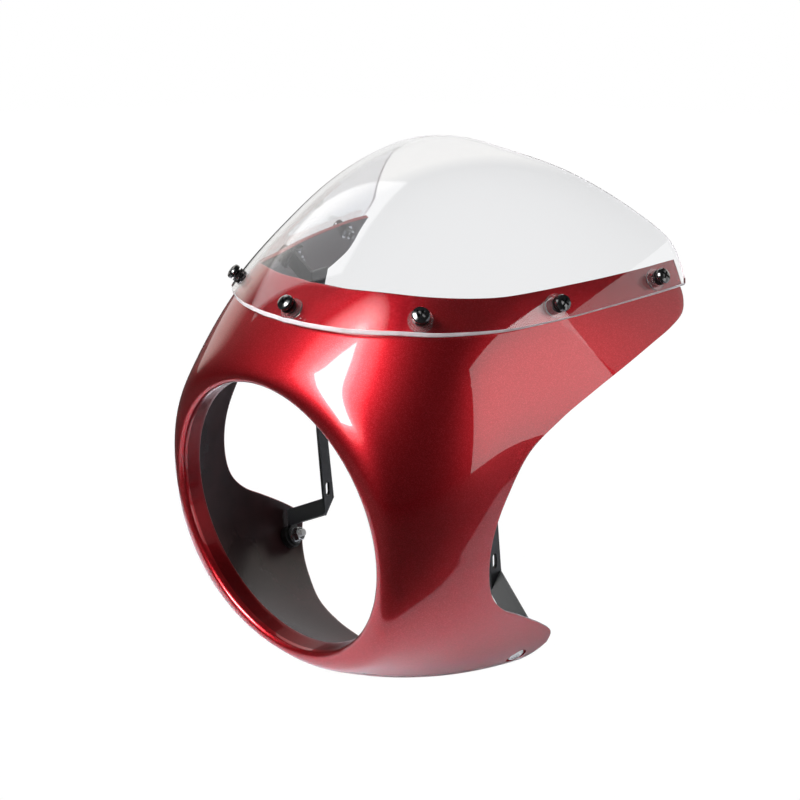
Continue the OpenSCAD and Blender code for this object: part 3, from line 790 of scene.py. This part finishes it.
class COWL_OT_stage(bpy.types.Operator):
    """Adds the floor, the lights and the camera"""

    bl_idname = "cowl.stage"
    bl_label = "Stage"

    def execute(self, context):
        props = context.scene.cowl_stage
        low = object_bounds()[0][2] - FLOOR_GAP
        bpy.ops.mesh.primitive_plane_add(size=FLOOR_SIZE, location=(0, 0, low))
        floor = context.object
        floor.name = "floor"
        floor.data.materials.append(self.matt_white_table(props))
        floor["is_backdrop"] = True
        self.walls(context.scene)
        self.diffuser("front_box", **FRONT_BOX)
        for name, lamp in SOFTBOXES.items():
            self.softbox(name, **lamp)
        self.camera(context.scene, props)
        context.scene.view_settings.view_transform = "Standard"
        return {"FINISHED"}

    @staticmethod
    def seen(tree):
        """One for rays that look straight at the backdrop or through the sheet, none for reflections."""
        path = add(tree, "ShaderNodeLightPath").outputs
        direct = maths(tree, "LESS_THAN", path["Glossy Depth"], 0.5)
        through_sheet = maths(tree, "MULTIPLY", path["Is Transmission Ray"], direct)
        return maths(tree, "MAXIMUM", path["Is Camera Ray"], through_sheet)

    @staticmethod
    def matt_white_table(props):
        """Matt painted table top, burnt out to plain white as a studio photograph has it.

        In reflections it is a pale table that ends before the camera and on the left.
        """
        m, t = material("matt_white_table", props.floor)
        place = add(t, "ShaderNodeTexCoord").outputs["Object"]
        past = maths(t, "ADD", maths(t, "DOT_PRODUCT", place, AWAY, vector=True), TABLE_FRONT)
        inside = maths(t, "ADD", maths(t, "DOT_PRODUCT", place, RIGHTWARD, vector=True), TABLE_LEFT)
        tone = ramp(t, maths(t, "MINIMUM", past, inside), [(0.0, DIM), (TABLE_FADE, TABLE_TONE)])
        top = principled(t, {"Base Color": tone}, Roughness=0.8)
        white = add(t, "ShaderNodeEmission", Color=tuple(props.floor), Strength=FLOOR_GLOW)
        show(t, mixed(t, COWL_OT_stage.seen(t), top, white.outputs["Emission"]))
        return m

    @staticmethod
    def walls(scene):
        """White backdrop behind the object and a dim studio on the camera's side."""
        world = bpy.data.worlds.new("studio_walls")
        scene.world = world
        world.use_nodes = True
        t = world.node_tree
        t.nodes.clear()
        where = add(t, "ShaderNodeTexCoord").outputs["Generated"]
        tone = ramp(t, maths(t, "DOT_PRODUCT", where, AWAY, vector=True), WALL_STOPS)
        links = {"Fac": COWL_OT_stage.seen(t), "Color1": tone}
        mix = add(t, "ShaderNodeMixRGB", links, Color2=WHITE)
        b = add(t, "ShaderNodeBackground", {"Color": mix.outputs["Color"]}, Strength=1.0)
        add(t, "ShaderNodeOutputWorld", {"Surface": b.outputs["Background"]})

    @staticmethod
    def place_lamp(o, where, distance, lean):
        """Puts a lamp at an azimuth and elevation round LAMP_CENTRE, aims it there and leans it."""
        az, el = map(math.radians, where)
        out = Vector((math.sin(az) * math.cos(el), -math.cos(az) * math.cos(el), math.sin(el)))
        o.location = LAMP_CENTRE + distance * out
        turn = Quaternion((0, 0, 1), math.radians(lean))
        o.rotation_euler = ((-out).to_track_quat("-Z", "Y") @ turn).to_euler()
        o.visible_camera = False

    @staticmethod
    def softbox(name, where, distance, size, power, lean):
        """A rectangular lamp with sharp edges."""
        data = bpy.data.lights.new(name, "AREA")
        data.shape, data.size, data.size_y, data.energy = "RECTANGLE", size[0], size[1], power
        o = bpy.data.objects.new(name, data)
        COWL_OT_stage.place_lamp(o, where, distance, lean)
        bpy.context.scene.collection.objects.link(o)

    @staticmethod
    def diffuser(name, where, distance, size, lean, strength):
        """A lamp behind a cloth, on which a halo fades round the bright rectangle."""
        bpy.ops.mesh.primitive_plane_add(size=CLOTH_SIZE)
        o = bpy.context.object
        o.name = name
        # Woven diffuser cloth, lit from behind.
        m, t = material("lit_diffuser_cloth", WHITE)
        spot = add(t, "ShaderNodeTexCoord").outputs["Object"]
        past = maths(t, "ABSOLUTE", spot, vector=True)
        past = maths(t, "SUBTRACT", past, (size[0] / 2, size[1] / 2, 0), vector=True)
        past = maths(t, "MAXIMUM", past, (0, 0, 0), vector=True)
        away = maths(t, "LENGTH", past, vector=True)
        fade = ramp(t, away, [(p, grey(level)) for p, level in HALO])
        lit = add(t, "ShaderNodeEmission", {"Color": fade}, Strength=strength)
        show(t, lit.outputs["Emission"])
        o.data.materials.append(m)
        COWL_OT_stage.place_lamp(o, where, distance, lean)
        o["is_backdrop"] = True

    @staticmethod
    def camera(scene, props):
        """The camera that the photograph was taken with, as solved from the opening."""
        data = bpy.data.cameras.new("camera")
        data.sensor_fit, data.sensor_width = "HORIZONTAL", SENSOR_MM
        data.lens = props.lens_px / FRAME_PX * SENSOR_MM
        data.clip_start, data.clip_end = 0.01, 50
        o = bpy.data.objects.new("camera", data)
        a, e = props.azimuth, props.elevation
        look = Vector((-math.sin(a) * math.cos(e), math.cos(a) * math.cos(e), -math.sin(e)))
        o.location = props.place
        o.rotation_euler = look.to_track_quat("-Z", "Y").to_euler()
        scene.collection.objects.link(o)
        scene.camera = o


class COWL_PT_panel(bpy.types.Panel):
    """Lists the settings and builders of the cowl"""

    bl_idname = "COWL_PT_panel"
    bl_label = "Headlight cowl"
    bl_space_type = "VIEW_3D"
    bl_region_type = "UI"
    bl_category = "Cowl"

    def draw(self, context):
        groups = (
            ("cowl_shell", ("paint", "inside", "flake_mm", "pitch_mm", "edge_mm"), ("cowl.shell",)),
            ("cowl_sheet", ("tint", "edge", "pitch_mm", "edge_mm"), ("cowl.windscreen",)),
            ("cowl_hardware", ("black", "zinc"), ("cowl.hardware", "cowl.brackets")),
            ("cowl_stage", ("lens_px", "azimuth", "elevation", "place", "floor"), ("cowl.stage",)),
        )
        for group, names, operators in groups:
            box = self.layout.box()
            for name in names:
                box.prop(getattr(context.scene, group), name)
            for operator in operators:
                box.operator(operator)


CLASSES = (
    CowlShellSettings, CowlSheetSettings, CowlHardwareSettings, CowlStageSettings,
    COWL_OT_shell, COWL_OT_windscreen, COWL_OT_hardware, COWL_OT_brackets, COWL_OT_stage, COWL_PT_panel,
)
GROUPS = {
    "cowl_shell": CowlShellSettings, "cowl_sheet": CowlSheetSettings,
    "cowl_hardware": CowlHardwareSettings, "cowl_stage": CowlStageSettings,
}


def register():
    for cls in CLASSES:
        bpy.utils.register_class(cls)
    for name, cls in GROUPS.items():
        setattr(bpy.types.Scene, name, bpy.props.PointerProperty(type=cls))


def unregister():
    for name in GROUPS:
        delattr(bpy.types.Scene, name)
    for cls in reversed(CLASSES):
        bpy.utils.unregister_class(cls)


def main():
    register()
    bpy.ops.cowl.shell()
    bpy.ops.cowl.windscreen()
    bpy.ops.cowl.hardware()
    bpy.ops.cowl.brackets()
    bpy.ops.cowl.stage()


if __name__ == "__main__":
    main()
